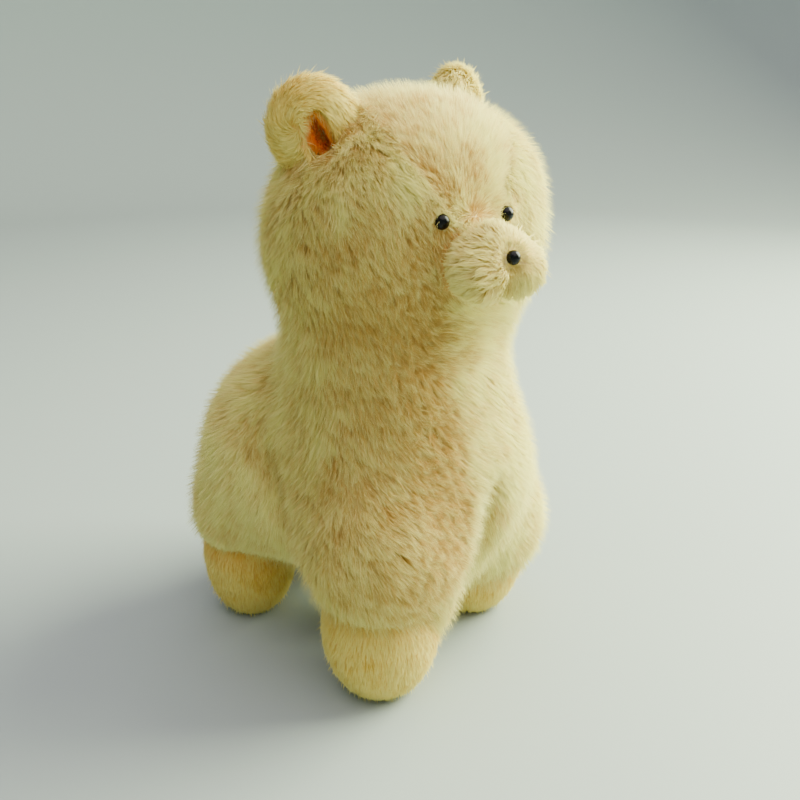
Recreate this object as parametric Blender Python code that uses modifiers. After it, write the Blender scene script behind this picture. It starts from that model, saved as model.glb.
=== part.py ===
"""Plush toy alpaca, standing with its head turned a little to its right.

A stuffed toy of long-pile plush: a round head on a thick neck, a short trunk and four stout
legs, with feet, ears and muzzle of shorter plush, bead eyes and a bead nose.  The solids are
the outer shape of the toy, out to the tips of the pile.  Metres, +Z up.  The toy faces -Y, its
right side is at -X, and the origin is on the floor under the middle of the whole toy.
"""

import math

import bmesh
import bpy
from mathutils import Matrix, Vector

# Driving dimensions, in metres, measured from a point on the floor among the feet.
# A lobe is an ellipsoid of stuffing: its centre and its three radii.
GAP = 0.0003                 # clearance between pieces that touch
BODY_VOXEL = 0.0100          # facet size of the stuffed body
MUZZLE_VOXEL = 0.0042        # facet size of the muzzle
SOFTENING = 5                # smoothing rounds that blend the lobes of the stuffing
SOFTENING_LOSS = 0.0009      # what those rounds take off a lobe

NECK_UPPER = ((-0.002, -0.016, 0.141), (0.0490, 0.0450, 0.0500))
NECK_LOWER = ((-0.001, -0.019, 0.106), (0.0530, 0.0480, 0.0550))
CHEST = ((0.0, -0.025, 0.087), (0.0580, 0.0490, 0.0470))
BELLY = ((0.0, 0.014, 0.075), (0.0530, 0.0500, 0.0460))
RUMP = ((0.0, 0.038, 0.084), (0.0560, 0.0400, 0.0510))
TAIL = ((0.0, 0.076, 0.087), (0.0115, 0.0125, 0.0155))

# Each leg stands over its foot: place on the floor, and height of the hem of its long pile.
LEGS = {
    "front_right": (-0.036, -0.035, 0.044),
    "front_left": (0.041, -0.029, 0.023),
    "rear_right": (-0.027, 0.053, 0.036),
    "rear_left": (0.031, 0.051, 0.032),
}
LEG_RADIUS = {"front": 0.0350, "rear": 0.0265}
LEG_HEIGHT = 0.0370          # half height of a leg's lobe
FOOT_RADIUS = {"front": 0.0250, "rear": 0.0220}
FOOT_HEIGHT = 0.0340         # half height of a foot's lobe
FOOT_SUNK = 0.0040           # how much of a foot's round underside the flat sole takes off
ANKLE = 0.0060               # how far a foot reaches up inside the pile of its leg
SKIRT = ((-0.018, -0.045, 0.047), (0.0195, 0.0195, 0.0280))   # pile hanging inside a front leg

LEG_TOP = 0.064              # height of the seam between the legs and the trunk
LEG_FRONT_BACK = 0.002       # where the front legs end along the belly
LEG_REAR_FRONT = 0.022       # where the rear legs begin along the belly
NECK_SEAM = ((0.0, -0.020, 0.114), math.radians(23))
HEAD_SEAM = ((0.0, -0.020, 0.150), math.radians(6))

# Places on the head are measured from HEAD_PLACE, before the head is turned.
HEAD_PLACE = Vector((0.002, -0.020, 0.0))
HEAD_TURN = math.radians(-20)
HEAD = ((0.0, 0.002, 0.1880), (0.0605, 0.0490, 0.0565))
FOREHEAD = ((0.0, -0.012, 0.2030), (0.0540, 0.0340, 0.0380))
EARS = {"right": (-0.0395, 0.0025, 0.2305), "left": (0.0310, 0.0140, 0.2320)}
EAR_RADII = (0.0185, 0.0115, 0.0190)
EAR_SPLAY = math.radians(37)
EAR_FOLD_RADII = (0.0045, 0.0100, 0.0115)
EAR_FOLD_SHIFT = (0.0042, -0.0085, -0.0030)
EAR_FOLD_LEAN = math.radians(28)
MUZZLE_PUFF = ((0.0082, -0.0580, 0.1850), (0.0108, 0.0130, 0.0118))
MUZZLE_BRIDGE = ((0.0, -0.0570, 0.1920), (0.0115, 0.0130, 0.0105))
MUZZLE_ROOT = ((0.0, -0.0480, 0.1870), (0.0150, 0.0130, 0.0130))
EYE = ((0.0142, -0.0450, 0.2010), (0.0029, 0.0028, 0.0029))
NOSE = ((0.0, -0.0670, 0.1910), (0.0025, 0.0026, 0.0026))

SIDES = {"right": -1, "left": 1}


def clear_scene():
    for item in list(bpy.data.objects):
        bpy.data.objects.remove(item)


def new_collection(name):
    collection = bpy.data.collections.new(name)
    bpy.context.scene.collection.children.link(collection)
    return collection


def new_material(name, colour, roughness):
    material = bpy.data.materials.new(name)
    material.use_nodes = True
    shader = material.node_tree.nodes["Principled BSDF"]
    shader.inputs["Base Color"].default_value = (*colour, 1.0)
    shader.inputs["Roughness"].default_value = roughness
    shader.inputs["Metallic"].default_value = 0.0
    return material


def head_pose():
    """Places the head's own axes on the neck."""
    return Matrix.Translation(HEAD_PLACE) @ Matrix.Rotation(HEAD_TURN, 4, "Z")


def sided(place, side):
    """A place on the toy's left, or its mirror image on the right."""
    return Vector((side * place[0], place[1], place[2]))


def add_lobe(form, centre, radii, swell=0.0, pose=None, turn=None, segments=28, rings=16):
    """Add one ellipsoid to a bmesh, swollen by a clearance."""
    grown = [radius + swell for radius in radii]
    matrix = (pose or Matrix()) @ Matrix.Translation(Vector(centre)) @ (turn or Matrix())
    matrix = matrix @ Matrix.Diagonal((*grown, 1.0))
    bmesh.ops.create_uvsphere(form, u_segments=segments, v_segments=rings, radius=1.0, matrix=matrix)


def clip(form, height, up):
    """Cut a form flat at a height and close it; up is 1 to drop what is above, -1 below."""
    geometry = [*form.verts, *form.edges, *form.faces]
    bmesh.ops.bisect_plane(form, geom=geometry, plane_co=(0, 0, height), plane_no=(0, 0, up),
                           clear_outer=True)
    bmesh.ops.holes_fill(form, edges=[edge for edge in form.edges if edge.is_boundary])


def form_object(name, form, collection, material=None):
    """Turn a bmesh into an object of the same name."""
    mesh = bpy.data.meshes.new(name)
    form.to_mesh(mesh)
    form.free()
    mesh.shade_smooth()
    if material:
        mesh.materials.append(material)
    item = bpy.data.objects.new(name, mesh)
    collection.objects.link(item)
    return item


def guide(name, form, cutters):
    """A cutter, left out of renders."""
    item = form_object(name, form, cutters)
    item.hide_render = True
    item.display_type = "WIRE"
    return item


def fuse(item, voxel):
    """Blend overlapping lobes into one soft closed skin."""
    remesh = item.modifiers.new("Fuse", "REMESH")
    remesh.mode = "VOXEL"
    remesh.voxel_size = voxel
    remesh.use_smooth_shade = True
    smooth = item.modifiers.new("Soften", "SMOOTH")
    smooth.factor = 0.5
    smooth.iterations = SOFTENING


def cut(item, cutter, operation="DIFFERENCE"):
    boolean = item.modifiers.new(cutter.name, "BOOLEAN")
    boolean.operation = operation
    boolean.object = cutter
    boolean.solver = "EXACT"


def baked(name, source, parts, material):
    """A plain copy of an object as its modifiers leave it."""
    depsgraph = bpy.context.evaluated_depsgraph_get()
    mesh = bpy.data.meshes.new_from_object(source.evaluated_get(depsgraph))
    mesh.name = name
    mesh.materials.clear()
    mesh.materials.append(material)
    item = bpy.data.objects.new(name, mesh)
    parts.objects.link(item)
    return item


def body_form():
    """The stuffing from the head to the hems of the legs, as overlapping lobes."""
    form = bmesh.new()
    for lobe in (HEAD, FOREHEAD):
        add_lobe(form, *lobe, SOFTENING_LOSS, head_pose())
    for lobe in (NECK_UPPER, NECK_LOWER, CHEST, BELLY, RUMP, SKIRT):
        add_lobe(form, *lobe, SOFTENING_LOSS)
    for name, (x, y, hem) in LEGS.items():
        row = name.split("_")[0]
        radius = LEG_RADIUS[row]
        rise = LEG_HEIGHT * math.sqrt(1 - (FOOT_RADIUS[row] / radius) ** 2)
        add_lobe(form, (x, y, hem + rise), (radius, radius, LEG_HEIGHT), SOFTENING_LOSS)
    return form


def foot_form(name, swell):
    """A round foot with a flat sole, cut off at the ankle inside the pile of the leg."""
    x, y, hem = LEGS[name]
    radius = FOOT_RADIUS[name.split("_")[0]]
    form = bmesh.new()
    place = (x, y, FOOT_HEIGHT - FOOT_SUNK)
    add_lobe(form, place, (radius, radius, FOOT_HEIGHT), swell, segments=20, rings=12)
    clip(form, -swell, -1)
    clip(form, hem + ANKLE + swell, 1)
    return form


def ear_form(hand, swell):
    """A round, thick ear that faces a little outwards."""
    form = bmesh.new()
    splay = Matrix.Rotation(SIDES[hand] * EAR_SPLAY, 4, "Z")
    add_lobe(form, EARS[hand], EAR_RADII, swell, head_pose(), splay, segments=18, rings=10)
    return form


def ear_fold_form(hand):
    """The slanting hollow down the front of an ear."""
    form = bmesh.new()
    side = SIDES[hand]
    splay = Matrix.Rotation(side * EAR_SPLAY, 4, "Z")
    lean = Matrix.Rotation(side * EAR_FOLD_LEAN, 4, "Y")
    place = Vector(EARS[hand]) + splay.to_3x3() @ sided(EAR_FOLD_SHIFT, -side)
    add_lobe(form, place, EAR_FOLD_RADII, 0.0, head_pose(), splay @ lean, segments=12, rings=8)
    return form


def muzzle_form(swell):
    """Two round puffs under a bridge, on a root that is set into the face."""
    form = bmesh.new()
    for lobe in (MUZZLE_BRIDGE, MUZZLE_ROOT):
        add_lobe(form, *lobe, swell, head_pose())
    for side in SIDES.values():
        add_lobe(form, sided(MUZZLE_PUFF[0], side), MUZZLE_PUFF[1], swell, head_pose())
    return form


def bead_form(place, radii, swell):
    form = bmesh.new()
    add_lobe(form, place, radii, swell, head_pose(), segments=12, rings=8)
    return form


def tail_form(swell):
    form = bmesh.new()
    add_lobe(form, *TAIL, swell, segments=16, rings=10)
    return form


def set_in(host, name, build, parts, cutters, material):
    """Make a piece, and cut a socket for it, a little larger, into what it is set in."""
    piece = form_object(name, build(0.0), parts, material)
    cut(host, guide(f"socket_{name}", build(GAP), cutters))
    return piece


def leg_block(name, margin, cutters):
    """The box that holds one leg; a margin makes the trunk's cut wider than the leg."""
    row, hand = name.split("_")
    side = SIDES[hand]
    xs = sorted((side * (GAP / 2 - margin), side * 0.10))
    ys = (-0.12, LEG_FRONT_BACK + margin) if row == "front" else (LEG_REAR_FRONT - margin, 0.12)
    label = f"cut_{name}_{'trunk' if margin else 'leg'}"
    return block(label, (xs[0], ys[0], -0.02), (xs[1], ys[1], LEG_TOP + margin), cutters)


def block(name, low, high, cutters, matrix=None):
    """A box between two corners, used to divide the body."""
    form = bmesh.new()
    size = Vector(high) - Vector(low)
    middle = (Vector(high) + Vector(low)) / 2
    place = Matrix.Translation(middle) @ Matrix.Diagonal((*size, 1.0))
    bmesh.ops.create_cube(form, size=1.0, matrix=(matrix or Matrix()) @ place)
    return guide(name, form, cutters)


def block_above(name, seam, offset, cutters):
    """A large box whose underside lies on a seam that rises towards the back."""
    point, tilt = seam
    matrix = Matrix.Translation(Vector(point)) @ Matrix.Rotation(tilt, 4, "X")
    return block(name, (-0.15, -0.15, offset), (0.15, 0.15, 0.20), cutters, matrix)


def part_body(body, parts, cutters, plush):
    """Part the body at its seams into head, neck, trunk and legs."""
    head = baked("head", body, parts, plush)
    cut(head, block_above("cut_head", HEAD_SEAM, GAP / 2, cutters), "INTERSECT")
    neck = baked("neck", body, parts, plush)
    cut(neck, block_above("cut_neck", NECK_SEAM, GAP / 2, cutters), "INTERSECT")
    cut(neck, block_above("cut_head_clear", HEAD_SEAM, -GAP / 2, cutters))
    trunk = baked("trunk", body, parts, plush)
    cut(trunk, block_above("cut_neck_clear", NECK_SEAM, -GAP / 2, cutters))
    for name in LEGS:
        leg = baked(f"leg_{name}", body, parts, plush)
        cut(leg, leg_block(name, 0.0, cutters), "INTERSECT")
        cut(trunk, leg_block(name, GAP, cutters))


def centre_on_floor(parts, cutters):
    """Hang everything from one empty and slide it, so that the origin is under the middle."""
    depsgraph = bpy.context.evaluated_depsgraph_get()
    corners = [Vector(corner) for item in parts.objects
               for corner in item.evaluated_get(depsgraph).bound_box]
    stand = bpy.data.objects.new("toy_origin", None)
    for item in [*parts.objects, *cutters.objects]:
        item.parent = stand
    parts.objects.link(stand)
    for axis in (0, 1):
        values = [corner[axis] for corner in corners]
        stand.location[axis] = -(min(values) + max(values)) / 2


def main():
    clear_scene()
    parts = new_collection("plush_alpaca")
    cutters = new_collection("cutters")
    long_plush = new_material("long-pile plush", (0.79, 0.70, 0.44), 0.95)
    short_plush = new_material("short-pile plush", (0.84, 0.62, 0.27), 0.95)
    bead = new_material("black acrylic", (0.01, 0.01, 0.012), 0.15)

    body = guide("body_form", body_form(), cutters)
    fuse(body, BODY_VOXEL)
    for name in LEGS:
        set_in(body, f"foot_{name}", lambda swell: foot_form(name, swell), parts, cutters, short_plush)
    set_in(body, "tail", tail_form, parts, cutters, long_plush)
    for hand, side in SIDES.items():
        ear = set_in(body, f"ear_{hand}", lambda swell: ear_form(hand, swell), parts, cutters, short_plush)
        cut(ear, guide(f"fold_{hand}", ear_fold_form(hand), cutters))
        place = sided(EYE[0], side)
        set_in(body, f"eye_{hand}", lambda swell: bead_form(place, EYE[1], swell), parts, cutters, bead)

    muzzle = set_in(body, "muzzle", muzzle_form, parts, cutters, short_plush)
    fuse(muzzle, MUZZLE_VOXEL)
    fuse(cutters.objects["socket_muzzle"], MUZZLE_VOXEL)
    set_in(muzzle, "nose", lambda swell: bead_form(*NOSE, swell), parts, cutters, bead)
    part_body(body, parts, cutters, long_plush)
    centre_on_floor(parts, cutters)


main()
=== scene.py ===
"""Plush toy alpaca: a stuffed toy of long cream plush, on a pale studio floor.

The toy faces -Y and its right side is at -X.  Its head is turned a little to its right.
"""

import math

import bmesh
import bpy
import numpy as np
from mathutils import Matrix, Vector
from mathutils.bvhtree import BVHTree


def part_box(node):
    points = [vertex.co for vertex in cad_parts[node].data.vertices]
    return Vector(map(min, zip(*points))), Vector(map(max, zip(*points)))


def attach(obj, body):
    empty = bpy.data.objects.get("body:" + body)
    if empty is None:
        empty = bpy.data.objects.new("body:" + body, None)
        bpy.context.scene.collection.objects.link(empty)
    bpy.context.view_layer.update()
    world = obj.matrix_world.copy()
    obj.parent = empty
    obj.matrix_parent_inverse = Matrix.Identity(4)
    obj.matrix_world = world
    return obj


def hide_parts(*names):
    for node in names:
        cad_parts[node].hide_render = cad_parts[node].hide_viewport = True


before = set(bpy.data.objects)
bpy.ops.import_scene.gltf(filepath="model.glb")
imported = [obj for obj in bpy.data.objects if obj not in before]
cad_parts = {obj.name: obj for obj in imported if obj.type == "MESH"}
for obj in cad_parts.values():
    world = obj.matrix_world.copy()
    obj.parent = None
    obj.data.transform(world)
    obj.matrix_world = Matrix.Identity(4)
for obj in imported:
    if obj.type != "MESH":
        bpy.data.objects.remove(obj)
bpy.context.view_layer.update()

MM = 0.001


# --- Studio -------------------------------------------------------------------------------
# A plain table top of pale matt laminate, much wider than the toy, lit like a room with one
# large window: soft light from the toy's front left and above, and pale walls all round.

def linear(hex_colour):
    """An sRGB hex colour as linear red, green, blue and alpha."""
    channels = [int(hex_colour[i:i + 2], 16) / 255 for i in (1, 3, 5)]
    return (*(c / 12.92 if c <= 0.04045 else ((c + 0.055) / 1.055) ** 2.4 for c in channels), 1.0)


def add(tree, kind, links=None, **settings):
    """Add a node.  Settings are its own properties; links fill its inputs, by name or number,
    from a plain value, a socket, or the first live output of another node."""
    node = tree.nodes.new(kind)
    for name, value in settings.items():
        setattr(node, name, value)
    for name, value in (links or {}).items():
        if isinstance(value, bpy.types.Node):
            value = next(output for output in value.outputs if output.enabled)
        if isinstance(value, bpy.types.NodeSocket):
            tree.links.new(value, node.inputs[name])
        else:
            node.inputs[name].default_value = value
    return node


def new_material(name, **values):
    """A Principled material with values on its own sockets; returns it, its tree and shader."""
    material = bpy.data.materials.new(name)
    material.use_nodes = True
    tree = material.node_tree
    shader = tree.nodes["Principled BSDF"]
    for socket, value in values.items():
        shader.inputs[socket.replace("_", " ")].default_value = value
    return material, tree, shader


def show(name, mesh, *materials):
    """A new object at the origin, with its place in its mesh."""
    item = bpy.data.objects.new(name, mesh)
    for material in materials:
        mesh.materials.append(material)
    bpy.context.scene.collection.objects.link(item)
    return item


# Matt laminate: an even, slightly cool pale grey with a soft, blurred reflection, a little
# deeper where it curves up into the wall.
DEEPEST_FROM = 0.3           # metres above the floor

laminate, tree, shader = new_material("matt laminate", Roughness=0.55)
place = add(tree, "ShaderNodeTexCoord").outputs["Object"]
height = add(tree, "ShaderNodeSeparateXYZ", {0: place}).outputs["Z"]
rise = add(tree, "ShaderNodeMapRange", {0: height, "From Max": DEEPEST_FROM})
shade = add(tree, "ShaderNodeMix", {"Factor": rise, "A": linear("#A0AAA7"), "B": linear("#8D9A97")},
            data_type="RGBA")
tree.links.new(shade.outputs["Result"], shader.inputs["Base Color"])

FLOOR_RADIUS = 1.1
COVE_RADIUS = 0.5
WALL_HEIGHT = 1.6
COVE_STEPS = 16
SIDES = 96
SEAM_WELD = 0.1 * MM

floor_mesh = bpy.data.meshes.new("floor")
form = bmesh.new()
profile = [form.verts.new((0, 0, 0))]
for step in range(COVE_STEPS + 1):
    bend = math.radians(90) * step / COVE_STEPS
    profile.append(form.verts.new((FLOOR_RADIUS + COVE_RADIUS * math.sin(bend), 0,
                                   COVE_RADIUS * (1 - math.cos(bend)))))
profile.append(form.verts.new((FLOOR_RADIUS + COVE_RADIUS, 0, WALL_HEIGHT)))
edges = [form.edges.new(pair) for pair in zip(profile, profile[1:])]
bmesh.ops.spin(form, geom=profile + edges, axis=(0, 0, 1), cent=(0, 0, 0), steps=SIDES,
               angle=math.radians(360), use_merge=True)
bmesh.ops.remove_doubles(form, verts=form.verts, dist=SEAM_WELD)
bmesh.ops.recalc_face_normals(form, faces=form.faces)
form.to_mesh(floor_mesh)
form.free()
floor_mesh.shade_smooth()
show("floor", floor_mesh, laminate)

# The camera stands to the toy's front right, at about the height of the ears.
CAMERA_AZIMUTH = math.radians(-50)
CAMERA_DISTANCE = 387 * MM
CAMERA_SHIFT = 1.8 * MM      # to the toy's right
CAMERA_HEIGHT = 265 * MM
CAMERA_HEADING = math.radians(-52)   # a little past the toy's axis
CAMERA_PITCH = math.radians(21.6)    # looking down
CAMERA_LENS = 42.6
CAMERA_NEAREST = 0.01

camera = bpy.data.objects.new("camera", bpy.data.cameras.new("camera"))
camera.data.lens = CAMERA_LENS
camera.data.clip_start = CAMERA_NEAREST
camera.location = (math.sin(CAMERA_AZIMUTH) * CAMERA_DISTANCE - CAMERA_SHIFT,
                   -math.cos(CAMERA_AZIMUTH) * CAMERA_DISTANCE, CAMERA_HEIGHT)
camera.rotation_euler = (math.radians(90) - CAMERA_PITCH, 0.0, CAMERA_HEADING)
bpy.context.scene.collection.objects.link(camera)
bpy.context.scene.camera = camera

WALL_COLOUR = "#D8CCE4"
WALL_GLOW = 1.05

world = bpy.data.worlds.new("pale walls")
world.use_nodes = True
world.node_tree.nodes["Background"].inputs["Color"].default_value = linear(WALL_COLOUR)
world.node_tree.nodes["Background"].inputs["Strength"].default_value = WALL_GLOW
bpy.context.scene.world = world


def area_light(name, place, aim, size, power, colour):
    """A square light of a size in metres and a power in watts, turned to its aim."""
    light = bpy.data.objects.new(name, bpy.data.lights.new(name, "AREA"))
    light.data.size = size
    light.data.energy = power
    light.data.color = linear(colour)[:3]
    light.location = place
    light.rotation_euler = (Vector(aim) - Vector(place)).to_track_quat("-Z", "Y").to_euler()
    bpy.context.scene.collection.objects.link(light)


area_light("window", place=(0.70, -0.44, 0.62), aim=(0, 0, 0.12), size=0.8, power=57.0,
           colour="#F6FFDC")
area_light("ceiling", place=(0.0, -0.30, 1.2), aim=(0, 0, 0.1), size=1.6, power=17.0,
           colour="#FFFAF0")


# --- Padded body --------------------------------------------------------------------------
# Head, neck, trunk, legs and tail are one stuffed body, sewn from knitted cloth and filled
# with polyester.  The cloth shows only where the pile parts, so it is modelled as one soft
# skin, which lies inside the outline by the depth of the pile.

CORNERS = [f"{row}_{hand}" for row in ("front", "rear") for hand in ("right", "left")]
BODY_NODES = ["head", "neck", "trunk", "tail"] + ["leg_" + corner for corner in CORNERS]
FEET = ["foot_" + corner for corner in CORNERS]
EARS = ["ear_right", "ear_left"]
EYES = ["eye_right", "eye_left"]
WELD = 0.02 * MM             # corners nearer than this are one


def padded_form(name, nodes, voxel, swell, rounds):
    """One closed skin round several nodes, swollen until their thin cuts close."""
    form = bmesh.new()
    for node in nodes:
        part = bmesh.new()
        part.from_mesh(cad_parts[node].data)
        bmesh.ops.remove_doubles(part, verts=part.verts, dist=WELD)
        part.normal_update()
        for vertex in part.verts:
            vertex.co += vertex.normal * swell
        copy = bpy.data.meshes.new("copy")
        part.to_mesh(copy)
        part.free()
        form.from_mesh(copy)
        bpy.data.meshes.remove(copy)
    mesh = bpy.data.meshes.new(name)
    form.to_mesh(mesh)
    form.free()
    item = show(name, mesh)
    remesh = item.modifiers.new("Close", "REMESH")
    remesh.mode = "VOXEL"
    remesh.voxel_size = voxel
    smooth = item.modifiers.new("Soften", "SMOOTH")
    smooth.iterations = rounds
    settle(item)
    return item


def settle(item):
    """Turn an object's modifiers into its plain mesh."""
    depsgraph = bpy.context.evaluated_depsgraph_get()
    mesh = bpy.data.meshes.new_from_object(item.evaluated_get(depsgraph))
    old = item.data
    item.modifiers.clear()
    item.data = mesh
    mesh.name = item.name
    bpy.data.meshes.remove(old)
    mesh.shade_smooth()


def points_of(mesh):
    values = np.empty(len(mesh.vertices) * 3)
    mesh.vertices.foreach_get("co", values)
    return values.reshape(-1, 3)


def normals_of(mesh):
    values = np.empty(len(mesh.vertices) * 3)
    mesh.vertex_normals.foreach_get("vector", values)
    return values.reshape(-1, 3)


PLUMB = Vector((0.11, 0.07, 0.99)).normalized()    # nearly upright, and along no edge
STEP_ON = 0.01 * MM          # from one wall crossed to the search for the next


def depth_outside(node, points):
    """How far each point lies outside a node; below zero it lies inside, where a plumb line
    crosses an odd number of walls."""
    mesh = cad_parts[node].data
    tree = BVHTree.FromPolygons([v.co for v in mesh.vertices], [p.vertices for p in mesh.polygons])
    depths = []
    for point in points:
        distance = tree.find_nearest(Vector(point))[3]
        start = Vector(point)
        walls = 0
        while (hit := tree.ray_cast(start, PLUMB)[0]) is not None:
            walls += 1
            start = hit + PLUMB * STEP_ON
        depths.append(-distance if walls % 2 else distance)
    return np.array(depths)


def ramp(values, low, high):
    """0 below low, 1 above high, smooth between; high may be the lower one."""
    t = np.clip((values - low) / (high - low), 0, 1)
    return t * t * (3 - 2 * t)


def store(mesh, name, values):
    """Keep a number or a vector for each vertex, for the pile to read."""
    kind = "FLOAT" if values.ndim == 1 else "FLOAT_VECTOR"
    attribute = mesh.attributes.new(name, kind, "POINT")
    attribute.data.foreach_set("value" if values.ndim == 1 else "vector", values.ravel())


def middle(node):
    low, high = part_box(node)
    return (np.array(low) + np.array(high)) / 2


def band(values, start, full, fade, end):
    """1 from full to fade, falling smoothly to 0 at start and at end."""
    return ramp(values, start, full) * ramp(values, end, fade)


def unit(vectors):
    return vectors / np.maximum(np.linalg.norm(vectors, axis=1), 1e-6)[:, None]


def tangent(vectors, normals):
    """Unit vectors along the skin, nearest to the given ones."""
    return unit(vectors - normals * np.sum(vectors * normals, axis=1)[:, None])


PILE_DEPTH = 3.1 * MM        # how far the long pile stands off the cloth
FACE_DEPTH = 1.7 * MM        # round the eyes and the muzzle, where the pile is shorter
UNDER_MUZZLE = 3.0 * MM      # and this much more under the muzzle, which has a skin of its own
NEAR_EYE = (22 * MM, 6 * MM)         # the pile grows shorter from the first distance to the second
NEAR_MUZZLE = (14 * MM, 2 * MM)
CLOSING = 0.5 * MM
BODY_VOXEL = 2.4 * MM

body = padded_form("body_skin", BODY_NODES + FEET + EARS + EYES + ["muzzle"],
                   voxel=BODY_VOXEL, swell=CLOSING, rounds=6)
points = points_of(body.data)
to_eye = np.min([np.linalg.norm(points - middle(eye), axis=1) for eye in EYES], axis=0)
to_muzzle = depth_outside("muzzle", points)
to_foot = np.min([depth_outside(foot, points) for foot in FEET], axis=0)
to_ear = np.min([depth_outside(ear, points) for ear in EARS], axis=0)
face = np.maximum(ramp(to_eye, *NEAR_EYE), ramp(to_muzzle, *NEAR_MUZZLE))
depth = PILE_DEPTH + (FACE_DEPTH - PILE_DEPTH) * face
depth += UNDER_MUZZLE * ramp(to_muzzle, 1.2 * MM, 0.2 * MM)

# The legs are stuffed so full that the cloth creases behind and between them.
FLANK_CREASE = 7.0 * MM      # how deep each crease is
FRONT_CREASE = 8.0 * MM
CREASE_WIDTH = 7.0 * MM
FLANK_SLANT = 0.48           # how far back the crease behind the front leg goes as it rises
FLANK_PLACE = (5 * MM, 73.5 * MM)    # a point on it: how far back, and how high
FRONT_PLACE = -11 * MM       # the crease between the front legs, right of the middle

x, y, z = points.T
slant = FLANK_PLACE[0] + FLANK_SLANT * (z - FLANK_PLACE[1])
flank_crease = np.exp(-((y - slant) / CREASE_WIDTH) ** 2)
flank_crease *= ramp(np.abs(x), 20 * MM, 34 * MM) * ramp(z, 124 * MM, 92 * MM)
front_crease = np.exp(-((x - FRONT_PLACE) / CREASE_WIDTH) ** 2)
front_crease *= ramp(y, -20 * MM, -40 * MM) * ramp(z, 108 * MM, 78 * MM)
depth += FLANK_CREASE * flank_crease + FRONT_CREASE * front_crease
points -= normals_of(body.data) * (depth + CLOSING)[:, None]
body.data.vertices.foreach_set("co", points.ravel())
body.data.update()
even = body.modifiers.new("Even", "SMOOTH")
even.iterations = 2
settle(body)
points = points_of(body.data)
normals = normals_of(body.data)

# The lie of the coat.  The pile of the body hangs down and is brushed forwards from both
# flanks, past a ruffled parting at the right front corner, and back on the rump.
DOWN = np.array((0.0, 0.0, -1.0))
BACK = np.array((0.0, 1.0, 0.0))
AXIS_Y = -18 * MM            # the upright axis that the coat is brushed round
BRUSHED = 0.50               # how far forwards it is brushed, against how far it hangs
BRUSHED_FLANK = 0.35         # and this much more in each of these places
BRUSHED_NECK = 0.15
BRUSHED_CHEEK = 0.45
BRUSHED_LEFT = 0.8           # the left side, against the right
BRUSHED_BACK = 1.5           # the share taken back again, low in front and on the left
CHIN_ACROSS = 0.9            # under the chin it is brushed across to the left
CHIN_RAISED = 0.8            # and hangs this much less
RUMP_BACK = 0.45

around = np.arctan2(points[:, 0], -(points[:, 1] - AXIS_Y))
turned = np.degrees(around)          # 0 in front, below 0 on the right
aside = np.stack([np.cos(around), np.sin(around), np.zeros(len(points))], axis=1)
height = points[:, 2] / MM           # millimetres above the floor
neck = band(height, 110, 130, 150, 166)
cheek = band(height, 158, 178, 195, 216)
flank = ramp(height, 130, 110)
right = (0.4 * ramp(turned, -170, -130) + 0.6 * ramp(turned, -130, -78)) * ramp(turned, 12, -22)
left = band(turned, 14, 50, 125, 170)
steer = (BRUSHED + BRUSHED_FLANK * flank + BRUSHED_NECK * neck
         + BRUSHED_CHEEK * cheek * ramp(np.abs(turned), 55, 95))
steer *= 1 - BRUSHED_BACK * ramp(height, 75, 50) * ramp(turned, -46, -30)
lie = DOWN + aside * (steer * (right - BRUSHED_LEFT * left))[:, None]
under_chin = band(height, 138, 150, 164, 176) * band(turned, -52, -38, 4, 22)
lie += (aside * CHIN_ACROSS - DOWN * CHIN_RAISED) * under_chin[:, None]
rump = ramp(points[:, 1], 5 * MM, 40 * MM) * ramp(height, 160, 120)
lie += BACK * (RUMP_BACK * rump)[:, None]

# The crown is one strip of cloth from between the eyes to the nape: its pile fans out from
# above the muzzle, up over the forehead and back between the ears.
HEAD_LEFT = np.array((0.940, -0.342, 0.0))       # the head is turned 20 degrees to its right
HEAD_FRONT = np.array((-0.342, -0.940, 0.0))
STRIP_HALF = 12 * MM         # half the strip's width over the eyes
STRIP_SPREAD = 11 * MM       # and this much more on top of the head
STRIP_EDGE = 2 * MM
PARTED_ROUND_EYE = 1.6       # how strongly the pile turns away from an eye

eyes = np.mean([middle(eye) for eye in EYES], axis=0)
bridge = eyes + HEAD_FRONT * 2 * MM - DOWN * 1 * MM
across_head = (points - eyes) @ HEAD_LEFT
along_head = (points - eyes) @ HEAD_FRONT
half_strip = STRIP_HALF + STRIP_SPREAD * ramp(height, 203, 232)
strip = ramp(np.abs(across_head), half_strip + STRIP_EDGE, half_strip - STRIP_EDGE)
strip *= ramp(height, 198, 205) * (1 - ramp(along_head, -75 * MM, -95 * MM)
                                   * ramp(height, 200, 170))
nape = ramp(height, 186, 205) * ramp(along_head, -62 * MM, -78 * MM)
nape *= ramp(np.abs(across_head), 34 * MM, 26 * MM)
strip = np.maximum(strip, nape)
lie = unit(lie) * (1 - strip)[:, None] + unit(points - bridge) * strip[:, None]
lie = tangent(lie, normals)
from_eye = points - np.where((across_head < 0)[:, None], middle("eye_right"), middle("eye_left"))
from_eye /= np.maximum(to_eye, 1 * MM)[:, None]
lie += from_eye * (PARTED_ROUND_EYE * ramp(to_eye, 6 * MM, 3.4 * MM))[:, None]
store(body.data, "lie", lie)

# The pile leaves room for the pieces sewn on, and is trimmed on the face and the rear hem.
SHORTER_ON_FACE = 0.50
SHORTER_ON_CROWN = 0.12
SHORTER_AT_HEM = 0.55
SHADE_BESIDE_MUZZLE = 0.45

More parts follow.
